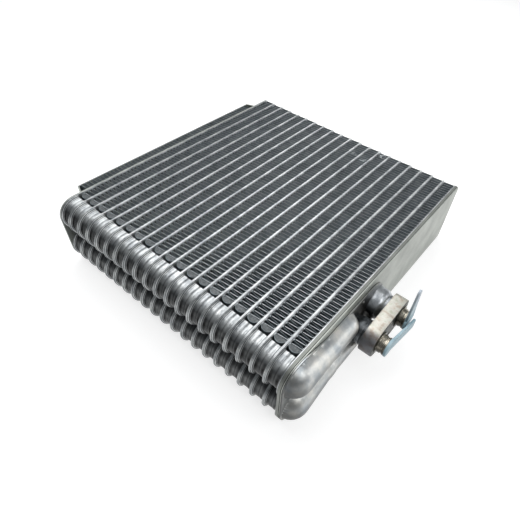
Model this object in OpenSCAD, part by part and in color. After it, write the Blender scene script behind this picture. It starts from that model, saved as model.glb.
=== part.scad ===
// Laminated evaporator core for a vehicle air conditioner, in millimetres.
// It lies on its large face: X is the stacking direction of the tubes, Y runs along them, Z is up.
// The origin is the middle of the resting face. The tank is at -Y and the pipe block at +X.

/* [Core] */
// Distance from one flat tube to the next
tube_pitch = 11; // [10.6:0.1:12]
// Depth of the core in the direction of the air
core_depth = 60; // [58:1:66]
// Length of a tube plate from the tank's rounded end to the far tip
plate_len = 246; // [236:1:270]
// Thickness of the sheet the tube plates are stamped from
plate_sheet = 0.6; // [0.5:0.05:0.7]
// Outside thickness of one flat tube
tube_thick = 2.8; // [2.6:0.1:3.2]
// Width of the flat rim left around the raised panel of a plate
rim_w = 0.8; // [0.6:0.1:1.4]
// Bevel at the two far corners of a plate
tip_bevel = 2.5; // [1:0.1:4]
// Distance from the far tip to the end of the raised panel
panel_back = 7.8; // [6:0.1:10]
// Width of the groove between the panel and the tip pad
tip_groove = 1.2; // [0.8:0.1:2]
// Width of the middle rib that splits a tube into two runs
rib_w = 3; // [2:0.1:5]
// Length of the open turn at the far end of a tube
turn_len = 12; // [8:0.5:20]

/* [Tank cups] */
// Largest radius of a drawn cup
cup_r = 12.8; // [12.2:0.1:13.4]
// Radius of the rounded wall of a cup, seen in section
cup_bulge_r = 3; // [2.9:0.05:3.1]
// Distance from the joint of the two plates to the widest part of a cup
cup_wide_x = 3.8; // [3.7:0.05:3.9]
// Straight length of a cup beyond its round half
cup_flat = 3.2; // [2:0.1:3.8]
// Radius of the hole that joins one cup to the next
cup_hole_r = 8; // [6:0.1:9]
// Step between the rim and the lip around a cup
lip_in = 1; // [0.8:0.1:1.4]
// Height of the lip above the joint of the two plates
lip_h = 1; // [0.9:0.05:1.2]
// Depth to which the notch between the two cups is left filled
notch_fill = 5.5; // [4:0.5:9]

/* [Fins] */
// Length of one full fold of the fin
fin_fold = 3.54; // [3.4:0.02:3.56]
// Thickness of the fin sheet
fin_sheet = 0.16; // [0.12:0.02:0.3]
// Flat part of each fold where it meets the tube
fin_crest = 1.1; // [0.8:0.05:1.3]
// Distance of the fins from the front and back faces of the core
fin_inset = 0.8; // [0.5:0.1:3]
// Depth of the rounded end of a fin next to the tank
fin_bow = 3.2; // [2:0.1:3.4]
// Flat foot with which that rounded end begins on its tube
bow_foot = 0.8; // [0.4:0.1:1]
// Number of folds in a fin between two tubes
fin_folds = 63; // [40:1:63]
// Number of folds in the outer fin on the left side
side_fin_folds = 55; // [40:1:58]

/* [End plates and side sheet] */
// Thickness of the flat plate that closes the left end
left_plate_t = 1.2; // [0.8:0.1:2]
// Thickness of the thin sheet outside the left fin
side_sheet_t = 0.8; // [0.6:0.1:1.2]
// Length of the foot where that sheet is joined to the left end plate
side_foot = 4; // [2:0.5:5]
// Thickness of the flat plate at the pipe end
end_plate_t = 2.1; // [1.6:0.1:2.6]
// Thickness of the flat back of the channel plate
back_plate_t = 0.9; // [0.6:0.1:1.4]
// Step from the edge of the end plate to the edge of that back
back_step = 0.4; // [0.2:0.1:0.8]

/* [Channel plate] */
// Thickness of the stamped channel plate
channel_sheet = 1.2; // [1:0.1:1.4]
// Outside radius of the two half-round channels
channel_r = 10; // [9:0.1:10.4]
// Height of the middle between the two channels
channel_mid_z = 30; // [28:0.5:32]
// Half of the distance between the two channels
channel_half_gap = 11.8; // [11.6:0.1:12.2]
// Half of the width of the flat flange around both channels
channel_half_w = 22.3; // [22.2:0.1:24]
// Position along the tubes where the upper channel ends
upper_channel_end = -46.5; // [-60:0.5:-44]
// Position along the tubes where the lower channel ends
lower_channel_end = -21.5; // [-30:0.5:-16]
// Rounding where a channel ends
channel_end_round = 5; // [2:0.5:7]
// Radius of the short links from the channels to the ports
link_r = 7.2; // [6.6:0.1:8]
// Radius of the two domes over the tank
dome_r = 13.6; // [12.6:0.1:14]
// Height of the domes above the flat back
dome_h = 11.3; // [11.1:0.1:13]
// Rounding of the shoulder of a dome
dome_round = 9.5; // [7:0.5:10]
// Length over which a dome narrows to its channel
flare_len = 30; // [24:1:34]
// Radius of that narrowing part at the dome
flare_r = 13; // [12.8:0.1:13.1]
// Depth to which its axis is sunk at the dome
flare_sink = 2; // [1.9:0.1:2.2]

/* [Pipe block] */
// Distance between the two ports
port_gap = 28.9; // [28:0.1:32]
// Position of the near port along the tubes
near_port_y = -43.3; // [-45:0.1:-42]
// Height of both ports above the resting face
port_z = 30; // [28.5:0.1:31]
// Outside radius of the neck behind the near port
near_neck_r = 8.5; // [8:0.1:9]
// Outside radius of the neck behind the far port
far_neck_r = 11; // [9:0.1:11.4]
// Width of the foot ring around the far neck
neck_foot_w = 1; // [0.5:0.1:2]
// Thickness of that foot ring
neck_foot_t = 1.5; // [1:0.1:3]
// Distance from the channel plate's back to the back of the block
block_back = 13; // [12.4:0.1:16]
// Thickness of the block
block_t = 10.2; // [9:0.1:12]
// Half of the width of the block
block_half_w = 12.2; // [11.5:0.1:13.5]
// Distance from the far port to the flat far end of the block
block_far = 11.2; // [10.5:0.1:14]
// Rounding of the two far corners of the block
block_round = 8; // [4:0.5:10]
// Radius of the two tapped bolt holes
bolt_r = 2.1; // [1.65:0.05:2.3]
// Distance between the two bolt holes
bolt_gap = 16; // [15:0.5:17]

/* [Stubs and caps] */
// Outside radius of the near stub
near_stub_r = 6.8; // [6.4:0.1:7.6]
// Outside radius of the far stub
far_stub_r = 7.1; // [6.4:0.1:7.6]
// Wall thickness of both stubs
stub_wall = 1.6; // [1.4:0.1:2]
// Distance the near stub stands out of the block
near_stub_out = 6.1; // [5.9:0.1:8]
// Distance the far stub stands out of the block
far_stub_out = 5.6; // [5:0.1:5.8]
// Depth of the stub's shank in the block
stub_in = 6; // [4:0.5:8]
// Thickness of the shank's wall
shank_wall = 0.8; // [0.6:0.1:1]
// Width of the collar around a stub at the block
collar_w = 1.4; // [1:0.1:2]
// Thickness of the disc of a cap
cap_t = 2; // [1.6:0.1:2.2]
// Width of the disc of a cap beyond the stub
cap_over = 0.2; // [0.1:0.1:0.6]
// Depth of the plug of a cap in its stub
plug_len = 5; // [3:0.5:7]
// Wall thickness of that plug
plug_wall = 1.2; // [0.8:0.1:2]
// Width of both pull tabs at their caps
tab_root_w = 11.5; // [9:0.5:12.5]
// Width of the near pull tab at its end
near_tab_w = 10.5; // [7:0.5:12]
// Width of the far pull tab at its end
far_tab_w = 4.5; // [3.5:0.5:8]
// Bevel at the corners of the pull tabs' ends
tab_bevel = 1.2; // [0.5:0.1:1.6]
// Thickness of the pull tabs
tab_t = 1.7; // [1.2:0.1:2]
// Length of the near pull tab from the middle of its cap
near_tab_len = 31; // [26:1:36]
// Length of the far pull tab from the middle of its cap
far_tab_len = 36; // [28:1:38]
// Outward lean of the near pull tab in degrees
tab_lean = 6.5; // [6:0.5:9]
// Turn of the far pull tab away from the tubes' direction in degrees
far_tab_turn = 93; // [60:1:100]
// Step from the underside of a cap's disc to the underside of its tab
tab_lift = 0.1; // [0.1:0.05:0.2]
// Gap around a stub's shank and around a cap's plug
fit_gap = 0.1; // [0.05:0.05:0.2]

/* [Hidden] */
$fn = 64;
tank_y = -plate_len / 2;
tip_y = plate_len / 2;
lobe_r = core_depth / 4;
lobe_y = tank_y + lobe_r;
lobe_z = [lobe_r, core_depth - lobe_r];
tube_half = tube_thick / 2;
cup_h = tube_pitch / 2;
cup_rc = cup_r - cup_bulge_r;
cup_in_r = cup_rc + sqrt(pow(cup_bulge_r, 2) - pow(cup_wide_x - lip_h, 2)) - plate_sheet;
panel_y0 = lobe_y + cup_flat + 2.8;
panel_y1 = tip_y - panel_back;
cavity_z = rim_w + plate_sheet;
left_x = -10 * tube_pitch;
right_x = 10 * tube_pitch;
back_x = right_x + end_plate_t;
face_x = back_x + back_plate_t;
fin_h = tube_pitch - tube_thick;
fin_y0 = lobe_y + cup_flat + 0.5 + fin_bow;
side_fin_y0 = lobe_y + cup_flat + 8.2;
side_x = left_x - left_plate_t - fin_h;
side_y0 = side_fin_y0 - 1.2;
side_y1 = side_fin_y0 + side_fin_folds * fin_fold + 1.2;
far_port_y = near_port_y + port_gap;
block_x = face_x + block_back;
block_face_x = block_x + block_t;
upper_z = channel_mid_z + channel_half_gap;
lower_z = channel_mid_z - channel_half_gap;
flange_end_y = far_port_y - 11.4;
near_bore = near_stub_r - stub_wall;
far_bore = far_stub_r - stub_wall;
ports = [[near_port_y, near_bore], [far_port_y, far_bore]];
bright_alu = [0.78, 0.79, 0.8];
fin_grey = [0.5, 0.52, 0.54];
machined = [0.82, 0.8, 0.76];
nickel = [0.72, 0.66, 0.55];
cap_blue = [0.55, 0.68, 0.74];

// Lays a shape so that its own X and Y become Y and Z, and its height runs along X.
module lay() {
    rotate([90, 0, 90]) children();
}

// Half of a disc, on the side of falling X.
module half_disc(r) {
    intersection() {
        circle(r);
        translate([-r - 1, -r - 1]) square([r + 1, 2 * r + 2]);
    }
}

// Quarter of a disc.
module quarter_disc(r) {
    intersection() {
        circle(r);
        square([r + 1, r + 1]);
    }
}

// The two rounded lobes of the tank's end, drawn in by a margin.
module lobes(in) {
    for (z = lobe_z) translate([lobe_y, z]) half_disc(lobe_r - in);
    translate([lobe_y - notch_fill + in, core_depth / 2 - 4])
        square([notch_fill - in, 8]);
}

// The tank's end of a flat plate: the same lobes with no notch between them.
module closed_end(in) {
    for (z = lobe_z) translate([lobe_y, z]) half_disc(lobe_r - in);
    translate([tank_y + in, lobe_z[0]]) square([lobe_r - in, lobe_z[1] - lobe_z[0]]);
}

// The long part of a plate from the tank to the far tip, drawn in by a margin.
module plate_body(in) {
    polygon([
        [lobe_y, in],
        [tip_y - tip_bevel, in],
        [tip_y - in, tip_bevel],
        [tip_y - in, core_depth - tip_bevel],
        [tip_y - tip_bevel, core_depth - in],
        [lobe_y, core_depth - in]
    ]);
}

// Section of a cup's wall: a barrel between the lip and the joint face.
module cup_section() {
    intersection() {
        translate([0, plate_sheet / 2]) square([cup_r + 1, cup_h - plate_sheet / 2]);
        union() {
            square([cup_rc, cup_h]);
            translate([cup_rc, cup_wide_x]) circle(cup_bulge_r);
        }
    }
}

// One drawn cup: a round half toward the tank's end and a short straight part.
module cup() {
    rotate([0, 0, 90]) rotate_extrude(angle = 180) cup_section();
    rotate([90, 0, 90]) linear_extrude(cup_flat) {
        cup_section();
        mirror([1, 0]) cup_section();
    }
}

// The hollow of a cup and the hole in its joint face.
module cup_hollow() {
    translate([0, 0, -1]) linear_extrude(cup_h - plate_sheet + 1) {
        half_disc(cup_in_r);
        translate([0, -cup_in_r]) square([cup_flat - plate_sheet, 2 * cup_in_r]);
    }
    cylinder(h = cup_h + 1, r = cup_hole_r);
}

// The two shallow runs of a tube, joined by the turn at the far end.
module runs(y0, h) {
    half = core_depth / 2;
    translate([0, 0, -1]) linear_extrude(h + 1) {
        for (z = [cavity_z, half + rib_w / 2])
            translate([y0, z]) square([
                panel_y1 - plate_sheet - y0,
                half - rib_w / 2 - cavity_z
            ]);
        translate([panel_y1 - plate_sheet - turn_len, half - rib_w])
            square([turn_len, 2 * rib_w]);
    }
}

// One stamped plate with its joint side at X = 0 and its cups toward +X.
module stamped_plate() {
    lay() difference() {
        union() {
            linear_extrude(plate_sheet) {
                plate_body(0);
                lobes(0);
            }
            linear_extrude(lip_h) {
                lobes(lip_in);
                translate([lobe_y, lip_in])
                    square([panel_y0 + 1 - lobe_y, core_depth - 2 * lip_in]);
            }
            linear_extrude(tube_half) {
                translate([panel_y0, rim_w])
                    square([panel_y1 - panel_y0, core_depth - 2 * rim_w]);
                translate([panel_y1 + tip_groove, tip_bevel])
                    square([panel_back - tip_groove - 1, core_depth - 2 * tip_bevel]);
            }
            for (z = lobe_z) translate([lobe_y, z, 0]) cup();
        }
        for (z = lobe_z) translate([lobe_y, z, 0]) cup_hollow();
        runs(lobe_y, lip_h - plate_sheet);
        runs(panel_y0 + 1, tube_half - plate_sheet);
    }
}

// One flat tube: two stamped plates joined back to back; the first has one plate only.
module tube(i) {
    color(bright_alu) translate([left_x + (i - 1) * tube_pitch, 0, 0]) {
        stamped_plate();
        if (i > 1) mirror([1, 0, 0]) stamped_plate();
    }
}

// Flat plate that closes the left end of the stack.
module left_end_plate() {
    color(bright_alu) translate([left_x - left_plate_t, 0, 0])
        lay() linear_extrude(left_plate_t) {
            plate_body(0);
            closed_end(0);
        }
}

// Last stamped plate, joined to the flat plate at the pipe end.
module right_cup_plate() {
    color(bright_alu) translate([right_x, 0, 0]) mirror([1, 0, 0]) stamped_plate();
}

// A flat plate with a hole over each cup.
module holed_plate(in, t) {
    lay() difference() {
        linear_extrude(t) {
            plate_body(in);
            closed_end(in);
        }
        for (z = lobe_z) translate([lobe_y, z, -1]) cylinder(h = t + 2, r = cup_hole_r);
    }
}

// Flat plate at the pipe end.
module right_end_plate() {
    color(bright_alu) translate([right_x, 0, 0]) holed_plate(0, end_plate_t);
}

// Flat back that closes the two channels.
module channel_back() {
    color(bright_alu) translate([back_x, 0, 0]) holed_plate(back_step, back_plate_t);
}

// Corner c of fold k on one side of the fin sheet, with the corner's share of its thickness.
function fold_point(k, c, side) =
    let (
        half = (fin_h - fin_sheet) / 2,
        leg = fin_fold / 2 - fin_crest,
        run = 2 * half,
        miter = (sqrt(run * run + leg * leg) - leg) / run * fin_sheet / 2,
        x = c < 2 ? -half : half,
        y = [0, fin_crest, fin_fold / 2, fin_fold / 2 + fin_crest][c],
        turn = [1, -1, -1, 1][c]
    )
    [x + side * fin_sheet / 2, k * fin_fold + y + side * turn * miter];

// One side of the rounded end of a fin, from its foot on one tube to the other tube.
function bow_side(side) =
    let (r = (fin_h - fin_sheet) / 2 - side * fin_sheet / 2)
    concat([[r, bow_foot]], [
        for (a = [0:22.5:180]) [r * cos(a), (side * fin_sheet / 2 - fin_bow) * sin(a)]
    ]);

// One side of a folded fin from its first corner to its last; bow is 1 for a rounded end.
function fold_side(n, side, bow) = concat(
    bow > 0 ? bow_side(side) : [],
    [for (i = [bow:4 * n - 1]) fold_point(floor(i / 4), i % 4, side)]
);

// One corrugated fin: a sheet folded across the gap between two tubes.
module folded_fin(n, bow) {
    back = fold_side(n, 1, bow);
    linear_extrude(core_depth - 2 * fin_inset)
        polygon(concat(fold_side(n, -1, bow), [for (i = [len(back) - 1:-1:0]) back[i]]));
}

// Folds of the fin in bay i.
function folds_in(i) = i == 1 ? side_fin_folds : fin_folds;

// Small start offset of each fin, so that the rows don't line up.
function fin_shift(i) = i == 1 ? 0 : ((i * 7) % 5) * 0.2;

// The fin in bay i; bay 1 is the outer fin on the left side, with no rounded end.
module fin(i) {
    x = i == 1 ? left_x - left_plate_t - fin_h / 2 : left_x + (i - 1.5) * tube_pitch;
    y = i == 1 ? side_fin_y0 : fin_y0 + fin_shift(i);
    color(fin_grey) translate([x, y, fin_inset]) folded_fin(folds_in(i), i == 1 ? 0 : 1);
}

// Thin sheet outside the left fin, bent in at both ends to a foot on the left end plate.
module left_side_sheet() {
    t = side_sheet_t;
    x0 = side_x;
    x1 = side_x + fin_h;
    slope = 3.8;
    color(bright_alu) translate([0, 0, fin_inset])
        linear_extrude(core_depth - 2 * fin_inset)
            polygon([
                [x0 - t, side_y0 - 0.5],
                [x1 - t, side_y0 - slope],
                [x1 - t, side_y0 - slope - side_foot],
                [x1, side_y0 - slope - side_foot],
                [x1, side_y0 - slope + t],
                [x0, side_y0 + 0.4],
                [x0, side_y1 - 0.4],
                [x1, side_y1 + slope - t],
                [x1, side_y1 + slope + side_foot],
                [x1 - t, side_y1 + slope + side_foot],
                [x1 - t, side_y1 + slope],
                [x0 - t, side_y1 + 0.5]
            ]);
}

// Section of a dome: a flat top with a rounded shoulder.
module dome_section(r, h, c) {
    square([r - c, h]);
    translate([r - c, 0]) square([c, h - c]);
    translate([r - c, h - c]) quarter_disc(c);
}

// A round channel along X from the middle of its dome, with a rounded far end.
module round_run(len, r, c) {
    rotate([0, 90, 0]) rotate_extrude() {
        square([r, len - c]);
        translate([0, len - c]) square([r - c, c]);
        translate([r - c, len - c]) quarter_disc(c);
    }
}

// The part that narrows from a dome at height z0 to its channel at height z1.
module flare(z0, z1, d) {
    dz = z1 - z0;
    run = sqrt(flare_len * flare_len + dz * dz);
    translate([lobe_y, z0, -flare_sink]) rotate([0, 0, atan2(dz, flare_len)])
        rotate([0, 90 - atan2(flare_sink, run), 0]) cylinder(
            h = sqrt(run * run + flare_sink * flare_sink), r1 = flare_r - d, r2 = channel_r - d);
}

// The short slanting link from a channel to the middle of its port.
module link(y0, z0, y1, r) {
    dy = y1 - y0;
    dz = port_z - z0;
    translate([y0, z0, 0]) rotate([0, 0, atan2(dz, dy)]) {
        rotate([0, 90, 0]) cylinder(h = sqrt(dy * dy + dz * dz), r = r);
        translate([sqrt(dy * dy + dz * dz), 0, 0]) sphere(r);
    }
}

// Both channels with domes, flares and links, cut off flat; d is the hollow's inward offset.
module channels(d) {
    low = d > 0 ? 1 : 0;
    r = channel_r - d;
    for (z = lobe_z) translate([lobe_y, z, -low]) rotate_extrude()
        dome_section(dome_r - d, dome_h - d + low, dome_round - d);
    intersection() {
        union() {
            for (p = [[upper_z, upper_channel_end], [lower_z, lower_channel_end]])
                translate([lobe_y, p[0], 0])
                    round_run(p[1] - d - lobe_y, r, channel_end_round - d);
            flare(lobe_z[1], upper_z, d);
            flare(lobe_z[0], lower_z, d);
            link(upper_channel_end - channel_r, upper_z, near_port_y, link_r - d);
            link(lower_channel_end - channel_r, lower_z, far_port_y, link_r - d);
        }
        translate([tank_y, -1, -low]) cube([plate_len, core_depth + 2, channel_r + low + 1]);
    }
}

// Outline of the channel plate's flat flange.
module channel_flange() {
    z0 = channel_mid_z - channel_half_w;
    z1 = channel_mid_z + channel_half_w;
    closed_end(0);
    polygon([
        [lobe_y, 0],
        [lobe_y + 5, 0],
        [lobe_y + flare_len, z0],
        [flange_end_y, z0],
        [flange_end_y, z1],
        [lobe_y + flare_len, z1],
        [lobe_y + 5, core_depth],
        [lobe_y, core_depth]
    ]);
    translate([flange_end_y, channel_mid_z]) mirror([1, 0]) half_disc(channel_half_w);
}

// Stamped plate whose two channels lead from the tank to the ports.
module channel_plate() {
    color(bright_alu) translate([face_x, 0, 0]) lay() difference() {
        union() {
            linear_extrude(channel_sheet) channel_flange();
            channels(0);
            translate([near_port_y + 7, channel_mid_z + channel_half_w - 4, 0])
                cylinder(h = channel_sheet + 0.9, r = 1.3);
        }
        channels(channel_sheet);
        for (p = ports) translate([p[0], port_z, channel_sheet]) cylinder(h = block_back, r = p[1]);
    }
}

// Neck between the channel plate and the block, shaped to sit on the channels.
module neck(p, r, foot) {
    color(bright_alu) translate([face_x, 0, 0]) lay() difference() {
        translate([p[0], port_z, channel_sheet]) {
            cylinder(h = block_back - channel_sheet, r = r);
            if (foot > 0) cylinder(h = neck_foot_t, r = r + foot);
        }
        channels(0);
        translate([p[0], port_z, 0]) cylinder(h = block_back + 1, r = p[1]);
    }
}

// Neck behind the near port, fed by the upper channel.
module near_neck() {
    neck(ports[0], near_neck_r, 0);
}

// Neck behind the far port, fed by the lower channel.
module far_neck() {
    neck(ports[1], far_neck_r, neck_foot_w);
}

// Outline of the block: round at the near port, square with small radii at the far end.
module block_outline() {
    far_y = far_port_y + block_far;
    translate([near_port_y, port_z]) half_disc(block_half_w);
    translate([near_port_y, port_z - block_half_w])
        square([far_y - block_round - near_port_y, 2 * block_half_w]);
    translate([near_port_y, port_z - block_half_w + block_round])
        square([far_y - near_port_y, 2 * (block_half_w - block_round)]);
    for (s = [-1, 1])
        translate([far_y - block_round, port_z + s * (block_half_w - block_round)])
            circle(block_round);
}

// Machined block with both ports and two tapped bolt holes.
module flange_block() {
    mid_y = (near_port_y + far_port_y) / 2;
    color(machined) translate([block_x, 0, 0]) lay() difference() {
        linear_extrude(block_t) block_outline();
        for (p = ports) {
            translate([p[0], port_z, -1]) cylinder(h = block_t + 2, r = p[1]);
            translate([p[0], port_z, block_t - stub_in - fit_gap])
                cylinder(h = stub_in + 1, r = p[1] + shank_wall + fit_gap);
        }
        for (z = [-bolt_gap / 2, bolt_gap / 2])
            translate([mid_y, port_z + z, -1]) cylinder(h = block_t + 2, r = bolt_r);
    }
}

// A stub with a shank in the block, a collar on it and a groove for its seal.
module stub(p, r, out) {
    color(nickel) translate([block_face_x, p[0], port_z]) rotate([0, 90, 0]) difference() {
        union() {
            translate([0, 0, -stub_in]) cylinder(h = stub_in + 1, r = p[1] + shank_wall);
            cylinder(h = 1, r = r + collar_w);
            cylinder(h = out, r = r);
        }
        translate([0, 0, -stub_in - 1]) cylinder(h = out + stub_in + 2, r = p[1]);
        translate([0, 0, out - 2.6]) difference() {
            cylinder(h = 1.4, r = r + 1);
            translate([0, 0, -1]) cylinder(h = 4, r = r - 0.5);
        }
    }
}

// Stub of the near port.
module near_stub() {
    stub(ports[0], near_stub_r, near_stub_out);
}

// Stub of the far port.
module far_stub() {
    stub(ports[1], far_stub_r, far_stub_out);
}

// Outline of a pull tab of a given length, narrowing to a width w at its end.
module tab_outline(pull, w) {
    polygon([
        [0, -tab_root_w / 2],
        [pull - tab_bevel, -w / 2],
        [pull, tab_bevel - w / 2],
        [pull, w / 2 - tab_bevel],
        [pull - tab_bevel, w / 2],
        [0, tab_root_w / 2]
    ]);
}

// A soft cap: a disc on the stub's end, a hollow plug in its bore and a long pull tab.
module cap(bore, r, turn, lean, pull, w) {
    difference() {
        union() {
            cylinder(h = cap_t, r = r + cap_over);
            translate([0, 0, -plug_len]) cylinder(h = plug_len + 1, r = bore - fit_gap);
            rotate([0, 0, turn]) rotate([0, -lean, 0])
                translate([0, 0, tab_lift]) linear_extrude(tab_t) tab_outline(pull, w);
        }
        translate([0, 0, -plug_len - 1]) cylinder(h = plug_len, r = bore - fit_gap - plug_wall);
    }
}

// Cap on the near stub, its tab lying over the far cap.
module near_cap() {
    color(cap_blue) translate([block_face_x + near_stub_out, near_port_y, port_z])
        lay() cap(near_bore, near_stub_r, 0, tab_lean, near_tab_len, near_tab_w);
}

// Cap on the far stub, its tab standing up.
module far_cap() {
    color(cap_blue) translate([block_face_x + far_stub_out, far_port_y, port_z])
        lay() cap(far_bore, far_stub_r, far_tab_turn, 0, far_tab_len, far_tab_w);
}

tube(1);  // tube_01
tube(2);  // tube_02
tube(3);  // tube_03
tube(4);  // tube_04
tube(5);  // tube_05
tube(6);  // tube_06
tube(7);  // tube_07
tube(8);  // tube_08
tube(9);  // tube_09
tube(10);  // tube_10
tube(11);  // tube_11
tube(12);  // tube_12
tube(13);  // tube_13
tube(14);  // tube_14
tube(15);  // tube_15
tube(16);  // tube_16
tube(17);  // tube_17
tube(18);  // tube_18
tube(19);  // tube_19
tube(20);  // tube_20
fin(1);  // fin_01
fin(2);  // fin_02
fin(3);  // fin_03
fin(4);  // fin_04
fin(5);  // fin_05
fin(6);  // fin_06
fin(7);  // fin_07
fin(8);  // fin_08
fin(9);  // fin_09
fin(10);  // fin_10
fin(11);  // fin_11
fin(12);  // fin_12
fin(13);  // fin_13
fin(14);  // fin_14
fin(15);  // fin_15
fin(16);  // fin_16
fin(17);  // fin_17
fin(18);  // fin_18
fin(19);  // fin_19
fin(20);  // fin_20
fin(21);  // fin_21
left_end_plate();
left_side_sheet();
right_cup_plate();
right_end_plate();
channel_back();
channel_plate();
near_neck();
far_neck();
flange_block();
near_stub();
far_stub();
near_cap();
far_cap();
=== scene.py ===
import math
import random
import bmesh
import bpy
from mathutils import Matrix, Vector
from mathutils.geometry import intersect_point_line


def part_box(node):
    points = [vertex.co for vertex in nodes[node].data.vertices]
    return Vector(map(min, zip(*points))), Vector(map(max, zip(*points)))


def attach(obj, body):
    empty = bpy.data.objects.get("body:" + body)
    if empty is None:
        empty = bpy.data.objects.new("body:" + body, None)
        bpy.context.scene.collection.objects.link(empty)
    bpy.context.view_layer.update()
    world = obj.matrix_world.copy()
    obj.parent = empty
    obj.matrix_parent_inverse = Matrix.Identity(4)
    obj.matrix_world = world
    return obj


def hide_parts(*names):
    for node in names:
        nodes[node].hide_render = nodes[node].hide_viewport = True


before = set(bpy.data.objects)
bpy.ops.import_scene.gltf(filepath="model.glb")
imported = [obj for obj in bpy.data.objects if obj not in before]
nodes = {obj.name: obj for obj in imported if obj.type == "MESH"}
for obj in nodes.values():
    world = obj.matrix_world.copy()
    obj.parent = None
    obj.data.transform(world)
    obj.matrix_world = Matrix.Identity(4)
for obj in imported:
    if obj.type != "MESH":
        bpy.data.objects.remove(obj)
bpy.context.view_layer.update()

# The camera stands in front of the tank, to the right and above, and looks
# down on the core at the photograph's angle.
camera_data = bpy.data.cameras.new("camera")
camera_data.sensor_width = 36
camera_data.lens = 29.574
camera_data.shift_x = -0.0651
camera_data.shift_y = -0.0071
camera_data.clip_start = 0.01
camera = bpy.data.objects.new("camera", camera_data)
bpy.context.scene.collection.objects.link(camera)
stand = Vector((0.17667, -0.21695, 0.27853))
right = Vector((0.78151, 0.62018, 0.06798))
ahead = Vector((-0.39186, 0.57272, -0.72003))
up = right.cross(ahead)
camera.matrix_world = Matrix((
    (right.x, up.x, -ahead.x, stand.x),
    (right.y, up.y, -ahead.y, stand.y),
    (right.z, up.z, -ahead.z, stand.z),
    (0, 0, 0, 1),
))
bpy.context.scene.camera = camera
bpy.context.scene.view_settings.view_transform = "Standard"

# The studio is a white paper sheet on the table under a wide soft lamp high on
# the left. A lamp behind on the left lights the tubes' edges at the far end,
# one behind on the right the channels' crowns, one on the right the domes.
mm = 0.001
sharp_angle = math.radians(35)


def add(material, kind, inputs=None, stops=None, **settings):
    """One shader node with its settings and links.

    An input is a constant or a (node, output) pair to link from, and a colour
    mix takes its two colours at 6 and 7. The stops of a colour ramp are
    (place, colour or grey level)."""
    node = material.node_tree.nodes.new("ShaderNode" + kind)
    for key, value in settings.items():
        setattr(node, key, value)
    for key, value in (inputs or {}).items():
        if isinstance(value, tuple) and isinstance(value[0], bpy.types.Node):
            material.node_tree.links.new(value[0].outputs[value[1]], node.inputs[key])
        else:
            node.inputs[key].default_value = value
    if stops:
        while len(node.color_ramp.elements) < len(stops):
            node.color_ramp.elements.new(0.5)
        for element, (place, colour) in zip(node.color_ramp.elements, stops):
            element.position = place
            element.color = colour if isinstance(colour, tuple) else (colour, colour, colour, 1)
    return node


def new_material(name):
    """An empty node material."""
    material = bpy.data.materials.new(name)
    material.use_nodes = True
    material.node_tree.nodes.clear()
    return material


def show(name, bm, *materials):
    """A finished mesh becomes a named piece at the origin, smooth but for its sharp edges."""
    bmesh.ops.recalc_face_normals(bm, faces=bm.faces)
    mesh = bpy.data.meshes.new(name)
    bm.to_mesh(mesh)
    bm.free()
    mesh.shade_smooth()
    mesh.set_sharp_from_angle(angle=sharp_angle)
    for material in materials:
        mesh.materials.append(material)
    piece = bpy.data.objects.new(name, mesh)
    bpy.context.scene.collection.objects.link(piece)
    return piece


# Paper is matt and even. Its grey takes the core's soft shadow, and a glow that
# only the camera and reflections see lifts it to white.
paper = new_material("white_paper_sheet")
paper_grey = (0.42, 0.42, 0.42, 1)
paper_glow = 0.73
matt = add(paper, "BsdfDiffuse", {"Color": paper_grey})
rays = add(paper, "LightPath")
seen = add(paper, "Math", {0: (rays, "Is Camera Ray"), 1: (rays, "Is Glossy Ray")},
           operation="MAXIMUM")
seen = add(paper, "Math", {0: (seen, 0), 1: (rays, "Is Transmission Ray")}, operation="MAXIMUM")
dark = add(paper, "Emission", {"Strength": 0})
lift = add(paper, "Emission", {"Strength": paper_glow})
glow = add(paper, "MixShader", {0: (seen, 0), 1: (dark, 0), 2: (lift, 0)})
sheet = add(paper, "AddShader", {0: (matt, 0), 1: (glow, 0)})
add(paper, "OutputMaterial", {0: (sheet, 0)})
paper_half = 4
paper_top = -0.2 * mm
bm = bmesh.new()
bmesh.ops.create_grid(bm, x_segments=1, y_segments=1, size=paper_half,
                      matrix=Matrix.Translation((0, 0, paper_top)))
floor = show("floor", bm, paper)

world = bpy.data.worlds.new("dim_sky")
world.use_nodes = True
bpy.context.scene.world = world
sky = world.node_tree.nodes["Background"]
sky.inputs["Color"].default_value = (0.93, 0.97, 1.0, 1)
sky.inputs["Strength"].default_value = 0.2
lamp_aim = Vector((0, 0, 0.03))
for name, place, size, power in (("key_lamp", (-0.3, 0.12, 0.75), 0.95, 6.1),
                                 ("seam_lamp", (-0.3, 0.82, 0.5), 0.6, 1.4),
                                 ("back_lamp", (0.86, 0.6, 0.32), 0.5, 1.7),
                                 ("dome_lamp", (0.49, -0.1, 0.52), 0.4, 1.3)):
    lamp = bpy.data.lights.new(name, "AREA")
    lamp.size = size
    lamp.energy = power
    thing = bpy.data.objects.new(name, lamp)
    thing.location = place
    thing.rotation_euler = (lamp_aim - Vector(place)).to_track_quat("-Z", "Y").to_euler()
    bpy.context.scene.collection.objects.link(thing)

# Flat tubes and the last cup plate: stamped aluminium plates, brazed back to
# back in a furnace. At one end each pair is drawn into two cups, and the cups
# of all pairs are brazed together into the two rows of the tank.
tube_pitch = 11 * mm
tube_pitches = 20
core_depth = 60 * mm
tank_front = -98 * mm
tank_fade = 5 * mm
ring_stretch = 0.02
grain_relief = 0.05 * mm


def linear(code):
    """A colour as it is seen on screen, turned into linear light."""
    channels = [int(code[i:i + 2], 16) / 255 for i in (0, 2, 4)]
    return tuple(c / 12.92 if c <= 0.04045 else ((c + 0.055) / 1.055) ** 2.4
                 for c in channels) + (1,)


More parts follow.
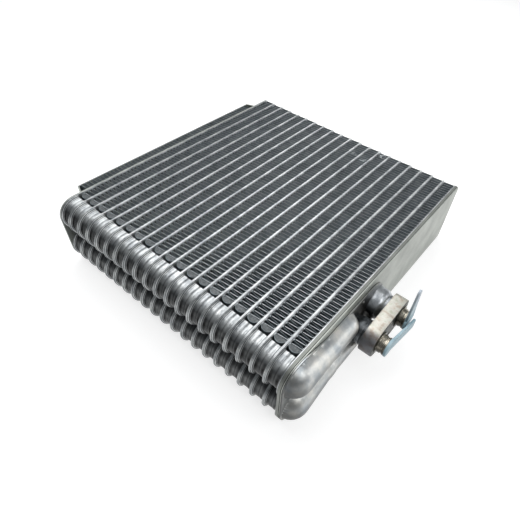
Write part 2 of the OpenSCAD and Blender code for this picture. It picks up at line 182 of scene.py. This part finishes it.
def metal_skin(name, dark, light, gloss, cloud, grain, metallic=0.9, relief=0.15,
               shade=None, turned=False):
    """A metal or plastic skin: clouds of tone, uneven gloss, a fine grain or turned rings.

    Cloud and grain are the sizes of those patterns. A real grain is a few
    hundredths of a millimetre, too fine to show, so it is drawn ten times as
    coarse. A shade darkens places, and its colour multiplies the clouds'."""
    material = new_material(name)
    place = add(material, "TexCoord")
    clouds = add(material, "TexNoise", {"Vector": (place, "Object"), "Scale": 1 / cloud,
                                        "Detail": 6.0, "Roughness": 0.6})
    colour = add(material, "ValToRGB", {0: (clouds, 0)},
                 stops=[(0.35, linear(dark)), (0.65, linear(light))])
    if shade:
        colour = add(material, "Mix", {"Factor": 1.0, 6: (colour, 0), 7: shade(material, place)},
                     data_type="RGBA", blend_type="MULTIPLY")
    along = (1, ring_stretch, ring_stretch) if turned else (1, 1, 1)
    spread = add(material, "Mapping", {"Vector": (place, "Object"), "Scale": along})
    specks = add(material, "TexNoise", {"Vector": (spread, 0), "Scale": 1 / grain,
                                        "Detail": 4.0, "Roughness": 0.7})
    sheen = add(material, "MapRange", {0: (specks, 0), 1: 0.3, 2: 0.7,
                                       3: gloss - 0.07, 4: gloss + 0.09})
    bump = add(material, "Bump", {"Height": (specks, 0), "Strength": relief,
                                  "Distance": grain_relief})
    skin = add(material, "BsdfPrincipled", {
        "Base Color": (colour, 2 if shade else 0), "Metallic": metallic,
        "Roughness": (sheen, 0), "Normal": (bump, 0)})
    add(material, "OutputMaterial", {0: (skin, 0)})
    return material


def dress(names, material):
    """The finish goes on CAD nodes."""
    for name in names:
        nodes[name].data.materials.clear()
        nodes[name].data.materials.append(material)


def tank_shade(material, place):
    """Joint lines everywhere, with painted shade beside them; in the tank, painted shade in
    the creases and painted shade, reflection streaks and highlight down the flanks.

    Away is the distance from a tube's seam, in tube pitches: 0 at the seam and
    0.5 at the joint between two cups. Level is the height in the core's depth."""
    axes = add(material, "SeparateXYZ", {0: (place, "Object")})
    step = add(material, "Math", {0: (axes, 0), 1: 1 / tube_pitch, 2: tube_pitches / 2 + 0.5},
               operation="MULTIPLY_ADD")
    part = add(material, "Math", {0: (step, 0)}, operation="FRACT")
    off = add(material, "Math", {0: (part, 0), 1: 0.5}, operation="SUBTRACT")
    away = add(material, "Math", {0: (off, 0)}, operation="ABSOLUTE")
    # Painted shade: a real dark line marks each seam, and the shoulders beside it and the crease
    # where the fin is brazed are painted darker.
    joint_line_and_shade = add(material, "ValToRGB", {0: (away, 0)}, stops=[
        (0.0, 0.5), (0.006, 0.5), (0.014, 1.0), (0.052, 1.0), (0.06, 0.8), (0.085, 0.7),
        (0.1, 0.2)])
    # Painted shade: in the tank the seam, the cup's step and root and the joint between two cups
    # are painted darker.
    crease_shade = add(material, "ValToRGB", {0: (away, 0)}, stops=[
        (0.0, 0.3), (0.008, 0.3), (0.014, 1.0), (0.05, 1.0), (0.056, 0.25), (0.066, 1.0),
        (0.095, 1.0), (0.105, 0.15), (0.12, 0.2), (0.135, 1.0), (0.155, 0.9), (0.168, 0.2),
        (0.19, 1.0), (0.44, 1.0), (0.48, 0.8), (0.5, 0.45)])
    level = add(material, "Math", {0: (axes, 2), 1: core_depth}, operation="DIVIDE")
    # Painted light by height: dark bands of painted shade and thin painted reflection streaks down
    # the flanks, full brightness on the cup tops. Near each seam it applies only in part.
    painted_flank_light = add(material, "ValToRGB", {0: (level, 0)}, stops=[
        (0.0, 0.02), (0.08, 0.04), (0.17, 0.18), (0.24, 0.02), (0.33, 0.16), (0.43, 0.1),
        (0.5, 0.0), (0.55, 0.01), (0.62, 0.06), (0.68, 0.22), (0.74, 0.02), (0.82, 0.01),
        (0.88, 0.15), (0.93, 0.95), (1.0, 1.0)])
    flank_light_reach = add(material, "ValToRGB", {0: (away, 0)}, stops=[
        (0.1, 0.12), (0.11, 0.65), (0.15, 0.65), (0.17, 1.0), (0.3, 1.0), (0.42, 0.9)])
    inner = add(material, "Mix", {"Factor": (flank_light_reach, 0), 6: (crease_shade, 0), 7: (painted_flank_light, 0)},
                data_type="RGBA", blend_type="MULTIPLY")
    tank = add(material, "MapRange", {0: (axes, 1), 1: tank_front, 2: tank_front - tank_fade})
    return add(material, "Mix", {"Factor": (tank, 0), 6: (joint_line_and_shade, 0), 7: (inner, 2)},
               data_type="RGBA"), 2


# Furnace-brazed aluminium: the braze melts and sets as a satin skin, which
# gives a soft shine, flux clouds about 7 mm wide and a fine line where two plates
# join. Painted shade darkens the creases where cup meets cup and the seams'
# shoulders, and painted shade and highlight run in bands down the tank's flanks.
brazed = metal_skin("furnace_brazed_aluminium", "a0a4a7", "d9dcdc", 0.36, 7 * mm, 0.5 * mm,
                    shade=tank_shade)
dress([n for n in nodes if n.startswith("tube_")] + ["right_cup_plate"], brazed)

# Cup shoulders and braze beads: each plate steps down from its rim to its cup
# in a narrow drawn shoulder round both lobes of the tank. A thin fillet of
# braze runs round each joint between two cups.
lobe_y = -108 * mm
lobe_heights = (15 * mm, 45 * mm)
cup_flat = 3.2 * mm
lobe_steps = 12
first_joint = -104.5 * mm
root_section = ((0.5, 11), (0.5, 14.5), (0.75, 14.6), (1.0, 14.3), (1.25, 13.7), (1.45, 13.6),
                (1.7, 13.3), (2.0, 12.8), (2.5, 12.6), (3.2, 12.7), (3.2, 11))
bead_section = ((-0.4, 12.1), (-0.3, 12.6), (0, 12.75), (0.3, 12.6), (0.4, 12.1))


def wrap(bm, x, height, section, way=1):
    """Sweep a closed section, (offset, radius) corners in mm, round one lobe of the tank."""
    corners = [bm.verts.new((x + way * off * mm, lobe_y + cup_flat, height + radius * mm))
               for off, radius in section]
    edges = [bm.edges.new((corners[k - 1], corners[k])) for k in range(len(corners))]
    bm.faces.new(corners)
    for turn in (False, True, False):
        if turn:
            swept = bmesh.ops.spin(bm, geom=edges + corners, cent=(x, lobe_y, height),
                                   axis=(1, 0, 0), angle=math.pi,
                                   steps=lobe_steps)["geom_last"]
        else:
            swept = bmesh.ops.extrude_edge_only(bm, edges=edges)["geom"]
        corners = [g for g in swept if isinstance(g, bmesh.types.BMVert)]
        edges = [g for g in swept if isinstance(g, bmesh.types.BMEdge)
                 and all(v in corners for v in g.verts)]
        if not turn:
            side = -1 if corners[0].co.z > height else 1
            bmesh.ops.translate(bm, verts=corners, vec=(0, side * cup_flat, 0))
    bmesh.ops.edgeloop_fill(bm, edges=edges)


roots, beads = bmesh.new(), bmesh.new()
for step in range(tube_pitches):
    for height in lobe_heights:
        x = first_joint + step * tube_pitch
        wrap(roots, x - tube_pitch / 2, height, root_section)
        wrap(roots, x + tube_pitch / 2, height, root_section, -1)
        wrap(beads, x, height, bead_section)
for piece in (show("tank_cup_roots", roots, brazed), show("tank_braze_beads", beads, brazed)):
    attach(piece, "root")

# Folded fins: one thin coated sheet folded across each gap. Its legs are cut
# into rows of fine twisted louvres that turn the air. Pale strips on the cut
# edges of one leg and of the crests in every fold are a painted highlight.
fin_fold = 3.54 * mm
fin_crest = 1.1 * mm
fin_sheet = 0.16 * mm
fin_height = 8.2 * mm
fin_bow = 3.2 * mm
leg_run = fin_height - fin_sheet
leg_turn = math.atan2(fin_fold / 2 - fin_crest, leg_run)
louvre_long = fin_height - 1.7 * mm
louvre_wide = 0.9 * mm
louvre_thick = 0.1 * mm
louvre_lean = math.radians(26)
louvre_step = 1.1 * mm
louvre_rows = 6
louvre_margin = 1.5 * mm
edge_wide = 0.38 * mm
edge_thick = 0.1 * mm
edge_share = 0.9

# Coated sheet: a thin grey coating takes the glare off the metal. The pale edge
# skin is a painted highlight, a line that shines alike from every side.
coated = metal_skin("coated_fin_sheet", "6a7378", "8e979c", 0.42, 7 * mm, 0.4 * mm, metallic=0.7)
pale_edge_highlight = metal_skin("combed_fin_edge", "9aa2a6", "c4cacd", 0.42, 5 * mm, 0.4 * mm, metallic=0.35)
fin_names = [f"fin_{number:02d}" for number in range(1, 22)]
dress(fin_names, coated)

# One fold's louvres and edges are made, and an array repeats them along the
# fin. The outermost fin alone has no bowed first leg.
for name in fin_names:
    low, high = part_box(name)
    first = low.y + (fin_sheet / 2 + fin_bow if name != "fin_01" else 0)
    first_leg = first + (fin_crest + fin_fold / 2) / 2
    middle = (low.x + high.x) / 2
    bm = bmesh.new()
    for leg, turn in ((0, leg_turn), (1, -leg_turn)):
        y = first_leg + leg * fin_fold / 2
        for start, way in ((high.z - louvre_margin, -1), (low.z + louvre_margin, 1)):
            for row in range(louvre_rows):
                bmesh.ops.create_cube(
                    bm, size=1,
                    matrix=Matrix.Translation((middle, y, start + way * row * louvre_step))
                    @ Matrix.Rotation(turn, 4, "Z")
                    @ Matrix.Rotation(way * louvre_lean, 4, "X")
                    @ Matrix.Diagonal((louvre_long, louvre_thick, louvre_wide, 1)))
    slats = len(bm.faces)
    for level in (high.z, low.z):
        shift = leg_run * (1 - edge_share) / 2
        bmesh.ops.create_cube(
            bm, size=1,
            matrix=Matrix.Translation((middle, first_leg, level))
            @ Matrix.Rotation(leg_turn, 4, "Z")
            @ Matrix.Translation((shift, 0, 0))
            @ Matrix.Diagonal((leg_run * edge_share, edge_wide, edge_thick, 1)))
        for side, start in ((-1, 0), (1, fin_fold / 2)):
            bmesh.ops.create_cube(
                bm, size=1,
                matrix=Matrix.Translation((middle + side * leg_run / 2,
                                           first + start + fin_crest / 2, level))
                @ Matrix.Diagonal((edge_wide, fin_crest, edge_thick, 1)))
    bm.faces.ensure_lookup_table()
    # Painted highlight: the edge strips take the pale skin.
    for face in bm.faces[slats:]:
        face.material_index = 1
    louvres = show(name.replace("fin", "louvres"), bm, coated, pale_edge_highlight)
    folds = louvres.modifiers.new("folds", "ARRAY")
    folds.use_relative_offset = False
    folds.use_constant_offset = True
    folds.constant_offset_displace = (0, fin_fold, 0)
    folds.count = int((high.y - first) / fin_fold + 0.1)
    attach(louvres, "root")

# Fin ends: beside the tank the comb has folded the last leg of each fin over,
# which leaves a rounded lid across the gap, a little below the faces.
lid_half = fin_height / 2 - fin_sheet
lid_drop = 0.35 * mm
lid_thick = 0.15 * mm

# The folded leg's coating is rubbed off and dusty, so it looks dull and mottled.
lid_skin = metal_skin("rolled_fin_end", "44484a", "6c7072", 0.5, 1.5 * mm, 0.3 * mm, metallic=0.6,
                      relief=0.4)
bm = bmesh.new()
for name in fin_names[1:]:
    low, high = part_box(name)
    middle = (low.x + high.x) / 2
    foot = low.y + fin_sheet / 2 + fin_bow
    outline = [(middle + lid_half * math.cos(math.radians(a)),
                foot - (fin_bow - fin_sheet) * math.sin(math.radians(a)))
               for a in range(0, 181, 15)]
    outline.append((middle - lid_half, foot + fin_crest))
    outline.append((middle + lid_half, foot + fin_crest))
    for level, way in ((high.z - lid_drop, -1), (low.z + lid_drop, 1)):
        face = bm.faces.new([bm.verts.new((x, y, level)) for x, y in outline])
        sides = bmesh.ops.extrude_face_region(bm, geom=[face])["geom"]
        moved = [g for g in sides if isinstance(g, bmesh.types.BMVert)]
        bmesh.ops.translate(bm, verts=moved, vec=(0, 0, way * lid_thick))
lids = show("fin_end_lids", bm, lid_skin)
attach(lids, "root")

# Knocked fins: in three small patches near the far end the sheet's edges are
# bent over by hard handling and catch the light.
patches = ((27.5, 98.5), (38.5, 116), (16.5, 101))
bent_each = 8
bent_level = 59.1
bent_thick = 0.1 * mm
chance = random.Random(4)
bm = bmesh.new()
for x, y in patches:
    for _ in range(bent_each):
        spot = Vector((x + chance.uniform(-2.6, 2.6), y + chance.uniform(-3, 3), bent_level)) * mm
        bmesh.ops.create_cube(
            bm, size=1,
            matrix=Matrix.Translation(spot)
            @ Matrix.Rotation(chance.uniform(-0.6, 0.6), 4, "Z")
            @ Matrix.Rotation(chance.uniform(-0.35, 0.35), 4, "X")
            @ Matrix.Diagonal((chance.uniform(1, 2.2) * mm, chance.uniform(0.4, 0.9) * mm,
                               bent_thick, 1)))
bent = show("bent_fin_edges", bm, pale_edge_highlight)
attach(bent, "root")

# End plates and side sheet: flat aluminium plates, cut from rolled sheet and
# brazed to both ends of the stack. At the pipe end a thick and a thin plate
# lie on each other.
plates_inside = 109.9 * mm
plates_outside = 113.1 * mm


def seam_shade(material, place):
    """Bright cut edges of the two plates at the pipe end, with dark lines where they join."""
    axes = add(material, "SeparateXYZ", {0: (place, "Object")})
    depth = add(material, "MapRange", {0: (axes, 0), 1: plates_inside, 2: plates_outside})
    return add(material, "ValToRGB", {0: (depth, 0)}, stops=[
        (0.0, 0.1), (0.05, 0.1), (0.08, 0.45), (0.35, 0.4), (0.62, 0.46), (0.66, 0.06),
        (0.73, 0.06), (0.76, 0.9), (1.0, 0.72)]), 0


# Rolled plate: even and dulled by the furnace, with clouds some 25 mm wide from
# handling. The sheared plates are paler, with bright cut edges.
rolled = metal_skin("rolled_aluminium_plate", "8b908c", "a9ada7", 0.45, 26 * mm, 0.6 * mm,
                    metallic=0.85)
dress(["left_end_plate", "left_side_sheet"], rolled)
sheared = metal_skin("sheared_aluminium_plate", "b4b8b2", "d0d4cd", 0.45, 22 * mm, 0.6 * mm,
                     metallic=0.85, shade=seam_shade)
dress(["right_end_plate", "channel_back"], sheared)

# Channel plate: one aluminium stamping drawn into two domes over the tank and
# two channels that narrow from them and bend to the ports. Its walls run into
# the flat flange with soft radii.
mid_z = 30 * mm
near_port_y = -43.3 * mm
far_port_y = -14.4 * mm
plate_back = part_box("channel_plate")[0].x
plate_thick = 1.2 * mm
flange_nose = 15 * mm
flange_shoulder = 5 * mm
flange_end = -25.8 * mm
flange_half = 22.3 * mm
flare_end = -78 * mm
dome_wide = 13.6 * mm
dome_tall = 11.3 * mm
channel_half = 10 * mm
link_half = 7.2 * mm
wall_steepness = 2.3
crown_roundness = 0.6
soft_radius = 1.6 * mm
soft_rise = 0.4 * mm
rivet_half = 1.6 * mm
rivet_tall = 2.1 * mm
# Painted shade round the ports: its centre, where it is darkest and where it fades, its raggedness
# and the size of its blots.
port_shadow_centre = (0, -34 * mm, 36 * mm)
port_shadow_inner = 8 * mm
port_shadow_outer = 24 * mm
port_shadow_ragged = 4 * mm
port_shadow_blot = 2.5 * mm
# The painted shadow line along the flange's foot fades out between these depths.
flange_foot = 113 * mm
flange_top = 115 * mm


def port_shade(material, place):
    """Painted shade round the ports, a painted shadow line at the flange's foot, and painted shade
    on walls that face down or to the front.
    """
    axes = add(material, "SeparateXYZ", {0: (place, "Object")})
    flat = add(material, "CombineXYZ", {1: (axes, 1), 2: (axes, 2)})
    # Painted shade: a ragged dark patch round the ports, where the necks and block shade the
    # plate.
    apart = add(material, "VectorMath", {0: (flat, 0), 1: port_shadow_centre}, operation="DISTANCE")
    rough = add(material, "TexNoise", {"Vector": (place, "Object"), "Scale": 1 / port_shadow_blot})
    near = add(material, "Math", {0: (rough, 0), 1: port_shadow_ragged, 2: (apart, "Value")},
               operation="MULTIPLY_ADD")
    reach = add(material, "MapRange", {0: (near, 0), 1: port_shadow_inner, 2: port_shadow_outer})
    port_shadow = add(material, "ValToRGB", {0: (reach, 0)},
               stops=[(0.0, 0.15), (0.45, 0.3), (1.0, 1.0)])
    # Painted shadow: a dark line where the stamping's flange meets the back.
    depth = add(material, "MapRange", {0: (axes, 0), 1: flange_foot, 2: flange_top})
    joint_line_and_shade = add(material, "ValToRGB", {0: (depth, 0)},
                stops=[(0.0, 0.08), (0.12, 0.08), (0.2, 1.0)])
    both = add(material, "Mix", {"Factor": 1.0, 6: (port_shadow, 0), 7: (joint_line_and_shade, 0)},
               data_type="RGBA", blend_type="MULTIPLY")
    # Painted shade: walls that face down or to the front are darker.
    facing = add(material, "SeparateXYZ", {0: (place, "Normal")})
    rise = add(material, "MapRange", {0: (facing, 2), 1: -1.0})
    downward_shade = add(material, "ValToRGB", {0: (rise, 0)},
                stops=[(0.1, 0.3), (0.45, 0.42), (0.58, 0.6), (0.72, 1.0)])
    both = add(material, "Mix", {"Factor": 1.0, 6: (both, 2), 7: (downward_shade, 0)},
               data_type="RGBA", blend_type="MULTIPLY")
    away = add(material, "MapRange", {0: (facing, 1), 1: -1.0, 2: 0.0})
    frontward_shade = add(material, "ValToRGB", {0: (away, 0)},
                stops=[(0.1, 0.3), (0.6, 0.6), (0.85, 1.0)])
    return add(material, "Mix", {"Factor": 1.0, 6: (both, 2), 7: (frontward_shade, 0)},
               data_type="RGBA", blend_type="MULTIPLY"), 2


# Stamped sheet: the die has smoothed it and the furnace left it satin, so its
# crowns shine in broad soft streaks under pale clouds about 12 mm wide. Painted
# shade darkens it round the ports, along the flange's foot and on walls that
# face down or to the front.
stamped = metal_skin("stamped_aluminium_channel", "abb1b5", "e0dfd9", 0.42, 12 * mm, 0.5 * mm,
                     shade=port_shade)

# Each run of the drawing is (start, end, half widths, heights) on the flat back.
runs = []
for dome_z, channel_z, turn_y, port_y in (
        (45 * mm, 41.8 * mm, -56.5 * mm, near_port_y),
        (15 * mm, 18.2 * mm, -31.5 * mm, far_port_y)):
    dome = Vector((lobe_y, dome_z))
    flare = Vector((flare_end, channel_z))
    turn = Vector((turn_y, channel_z))
    port = Vector((port_y, mid_z))
    runs.append((dome, flare, (dome_wide, channel_half), (dome_tall, channel_half)))
    runs.append((flare, turn, (channel_half, channel_half), (channel_half, channel_half)))
    runs.append((turn, port, (link_half, link_half), (link_half, link_half)))
rivet = Vector((-36.3 * mm, 48.3 * mm))
beside = rivet + Vector((0.1 * mm, 0))
runs.append((rivet, beside, (rivet_half, rivet_half), (rivet_tall, rivet_tall)))


def drawn_height(y, z):
    """How far the stamping stands out over a point of the flat back."""
    tall = plate_thick
    for start, end, wide, high in runs:
        share = min(max(intersect_point_line((y, z), start, end)[1], 0), 1)
        off = (Vector((y, z)) - start.lerp(end, share)).length
        half = wide[0] + (wide[1] - wide[0]) * share
        crown = high[0] + (high[1] - high[0]) * share
        arch = crown * max(1 - (off / half) ** wall_steepness, 0) ** crown_roundness
        wall = arch - max(off - half, 0)
        soft = max(1 - abs(tall - wall) / soft_radius, 0)
        tall = max(tall, wall) + soft * soft * soft_rise
    return tall


def flange_edge(y):
    """Height of the flange's lower edge; the upper edge mirrors it about the middle."""
    if y < lobe_y:
        return flange_nose - math.sqrt(max(flange_nose ** 2 - (y - lobe_y) ** 2, 0))
    if y < flange_end:
        slope = (y - lobe_y - flange_shoulder) / (flare_end - lobe_y - flange_shoulder)
        return (mid_z - flange_half) * min(max(slope, 0), 1)
    return mid_z - math.sqrt(flange_half ** 2 - (y - flange_end) ** 2)


# No operator draws such a sheet, so its points are worked out in closed rings
# across the plate, and faces join each ring to the next.
columns = 90
straight_rows = 130
nose = [lobe_y - flange_nose * math.cos(math.radians(a)) for a in range(0, 90, 6)]
straight = [lobe_y + (flange_end - lobe_y) * k / straight_rows for k in range(straight_rows)]
round_end = [flange_end + flange_half * math.sin(math.radians(a)) for a in range(0, 88, 3)]
bm = bmesh.new()
rows = []
for y in nose + straight + round_end:
    edge = flange_edge(y)
    levels = [edge + (2 * mid_z - 2 * edge) * k / columns for k in range(columns + 1)]
    top = [bm.verts.new((plate_back + drawn_height(y, z), y, z)) for z in levels]
    back = [bm.verts.new((plate_back, y, z)) for z in (levels[-1], levels[0])]
    rows.append(top + back)
for this, following in zip(rows, rows[1:]):
    for k in range(len(this)):
        j = (k + 1) % len(this)
        bm.faces.new((this[k], this[j], following[j], following[k]))
bm.faces.new(rows[0])
bm.faces.new(rows[-1])
plate = show("channel_stamping", bm, stamped)
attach(plate, "root")
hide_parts("channel_plate")

# Necks: turned aluminium sleeves brazed between the channels and the block.
# The far one spreads like a bell toward its channel; both end in fine rings
# at the block.
near_bell = ((0.0, 8.5), (0.12, 8.5), (0.25, 9.2), (0.5, 9.8), (0.78, 9.9))
far_bell = ((0.0, 12.7), (0.08, 12.7), (0.12, 12.4), (0.5, 12.3), (0.6, 11.9), (0.69, 11.2),
            (0.76, 10.3), (0.8, 10))
rings = ((0.82, -0.25), (0.84, 0.1), (0.87, 0.1), (0.89, -0.3), (0.92, -0.3), (0.94, 0.1),
         (1.0, 0.1))
near_bore = 5.2 * mm
far_bore = 5.5 * mm
neck_steps = 48


def shaded_below(stops):
    """A painted shade by how far a face looks up: the lower sides are darker."""
    def shade(material, place):
        facing = add(material, "SeparateXYZ", {0: (place, "Normal")})
        rise = add(material, "MapRange", {0: (facing, 2), 1: -1.0})
        return add(material, "ValToRGB", {0: (rise, 0)}, stops=stops), 0
    return shade


# Turned aluminium: the tool's fine rings spread the shine into a band along the
# neck; they are drawn half a millimetre apart so that they show. Painted shade
# darkens the far neck from below, and the near one is a darker copy of the skin,
# painted shade for the shadow of the far neck and block.
sleeve = metal_skin("turned_aluminium_neck", "a6abb0", "d8dcdf", 0.36, 5 * mm, 0.5 * mm,
                    relief=0.6, shade=shaded_below([(0.3, 0.05), (0.55, 0.15), (0.7, 0.7), (0.85, 1.0)]),
                    turned=True)
shadowed_neck_skin = metal_skin("shadowed_aluminium_neck", "3c4043", "73777a", 0.36, 4 * mm, 0.5 * mm,
                    relief=0.6, turned=True)

# A bell's corners are (share of the length, radius in mm), and a ring's are
# (share of the length, step in mm from the bell's end).
for name, port_y, bore, skin, bell in (
        ("near_neck", near_port_y, near_bore, shadowed_neck_skin, near_bell),
        ("far_neck", far_port_y, far_bore, sleeve, far_bell)):
    low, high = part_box(name)
    bell_end = bell[-1][1]
    section = list(bell) + [(share, bell_end + step) for share, step in rings]
    bm = bmesh.new()
    corners = [(low.x + (high.x - low.x) * share, radius * mm) for share, radius in section]
    corners += [(high.x, bore), (low.x, bore)]
    verts = [bm.verts.new((x, port_y, mid_z + radius)) for x, radius in corners]
    edges = [bm.edges.new((verts[k], verts[(k + 1) % len(verts)])) for k in range(len(verts))]
    bmesh.ops.spin(bm, geom=verts + edges, cent=(0, port_y, mid_z), axis=(1, 0, 0),
                   angle=2 * math.pi, steps=neck_steps, use_merge=True)
    neck = show(name.replace("neck", "turned_sleeve"), bm, skin)
    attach(neck, "root")
    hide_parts(name)

# Pipe block: milled from aluminium bar and brazed to the necks, its edges
# broken with a small bevel. It carries both stubs and is bolted to the pipes.
block_bevel = 0.5 * mm
merge_gap = 0.002 * mm
flat_angle = math.radians(0.5)
hard_angle = math.radians(40)
stains_per_metre = 260


def softened(node, name, radius, material):
    """A copy of a CAD piece with its hard edges rounded over."""
    bm = bmesh.new()
    bm.from_mesh(nodes[node].data)
    bmesh.ops.remove_doubles(bm, verts=bm.verts, dist=merge_gap)
    bmesh.ops.dissolve_limit(bm, angle_limit=flat_angle, verts=bm.verts, edges=bm.edges)
    hard = [e for e in bm.edges if e.is_manifold and e.calc_face_angle() > hard_angle]
    bmesh.ops.bevel(bm, geom=hard, offset=radius, segments=3, profile=0.5, affect="EDGES",
                    material=-1)
    piece = show(name, bm, material)
    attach(piece, "root")
    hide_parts(node)


def block_shade(material, place):
    """Painted shade on the outer face and the rounded ends, bright stained sides."""
    facing = add(material, "SeparateXYZ", {0: (place, "Normal")})
    # Painted shade: the outer face is dark.
    outer_face_shade = add(material, "ValToRGB", {0: (facing, 0)},
                stops=[(0.5, linear("ffffff")), (0.9, linear("35382f"))])
    # Painted shade: faces toward the near end are lilac grey, faces toward the far end darker.
    near = add(material, "MapRange", {0: (facing, 1), 1: -1.0})
    end = add(material, "ValToRGB", {0: (near, 0)}, stops=[
        (0.08, linear("7c7e88")), (0.28, linear("b4b4ba")), (0.4, 1.0), (0.62, 1.0), (0.8, 0.7),
        (0.95, 0.45)])
    both = add(material, "Mix", {"Factor": 1.0, 6: (outer_face_shade, 0), 7: (end, 0)},
               data_type="RGBA", blend_type="MULTIPLY")
    blots = add(material, "TexNoise", {"Vector": (place, "Object"), "Scale": stains_per_metre,
                                       "Detail": 5.0})
    stain = add(material, "ValToRGB", {0: (blots, 0)}, stops=[
        (0.36, linear("e4d8cf")), (0.44, linear("f8f3f0")), (0.56, linear("ffffff")),
        (0.68, linear("eaece2"))])
    return add(material, "Mix", {"Factor": 1.0, 6: (both, 2), 7: (stain, 0)},
               data_type="RGBA", blend_type="MULTIPLY"), 2


# Milled bar: fine cutter marks, softened by the furnace, leave pale satin sides
# with warm flux stains about 4 mm wide. Painted shade darkens the outer face and
# the faces toward both ends.
milled = metal_skin("milled_aluminium_bar", "cfcdc3", "e9e8df", 0.42, 8 * mm, 0.4 * mm,
                    metallic=0.6, shade=block_shade)
softened("flange_block", "bevelled_block", block_bevel, milled)

# Stubs: turned metal tubes with a collar and a seal groove, plated and pressed
# into the block's two ports.
stub_bevel = 0.18 * mm

# Plated metal is the glossiest skin here. It has tarnished to a warm brown, with
# painted shade dark below, and turning rings drawn coarse enough to show.
plated = metal_skin("plated_turned_stub", "8f897b", "cdc7b8", 0.24, 4 * mm, 0.3 * mm,
                    relief=0.15, shade=shaded_below([(0.3, 0.1), (0.6, 0.16), (0.8, 0.6), (0.92, 1.0)]),
                    turned=True)
for node in ("near_stub", "far_stub"):
    softened(node, node.replace("stub", "plated_stub"), stub_bevel, plated)

# Caps: soft plastic with long pull tabs, moulded in one piece and pushed into
# the stubs to keep dirt out.
cap_bevel = 0.35 * mm
tip_low = 34 * mm
tip_high = 62 * mm


def tip_shade(material, place):
    """Painted light: the caps are darker low down and lighter toward the far tab's tip, which also
    turns from teal to a greyer lilac.
    """
    axes = add(material, "SeparateXYZ", {0: (place, "Object")})
    height = add(material, "MapRange", {0: (axes, 2), 1: tip_low, 2: tip_high})
    return add(material, "ValToRGB", {0: (height, 0)}, stops=[
        (0.0, linear("d6e6ea")), (0.3, linear("fcffff")), (1.0, linear("fff6f8"))]), 0


# Moulded soft plastic: milky and even, with a soft gloss and no metal in it.
# Painted light makes it darker low down and lighter toward the far tab's tip.
moulded = metal_skin("moulded_soft_plastic", "b8ccd5", "ccdce3", 0.42, 12 * mm, 0.4 * mm,
                     metallic=0.0, shade=tip_shade)
for node in ("near_cap", "far_cap"):
    softened(node, node.replace("cap", "soft_cap"), cap_bevel, moulded)
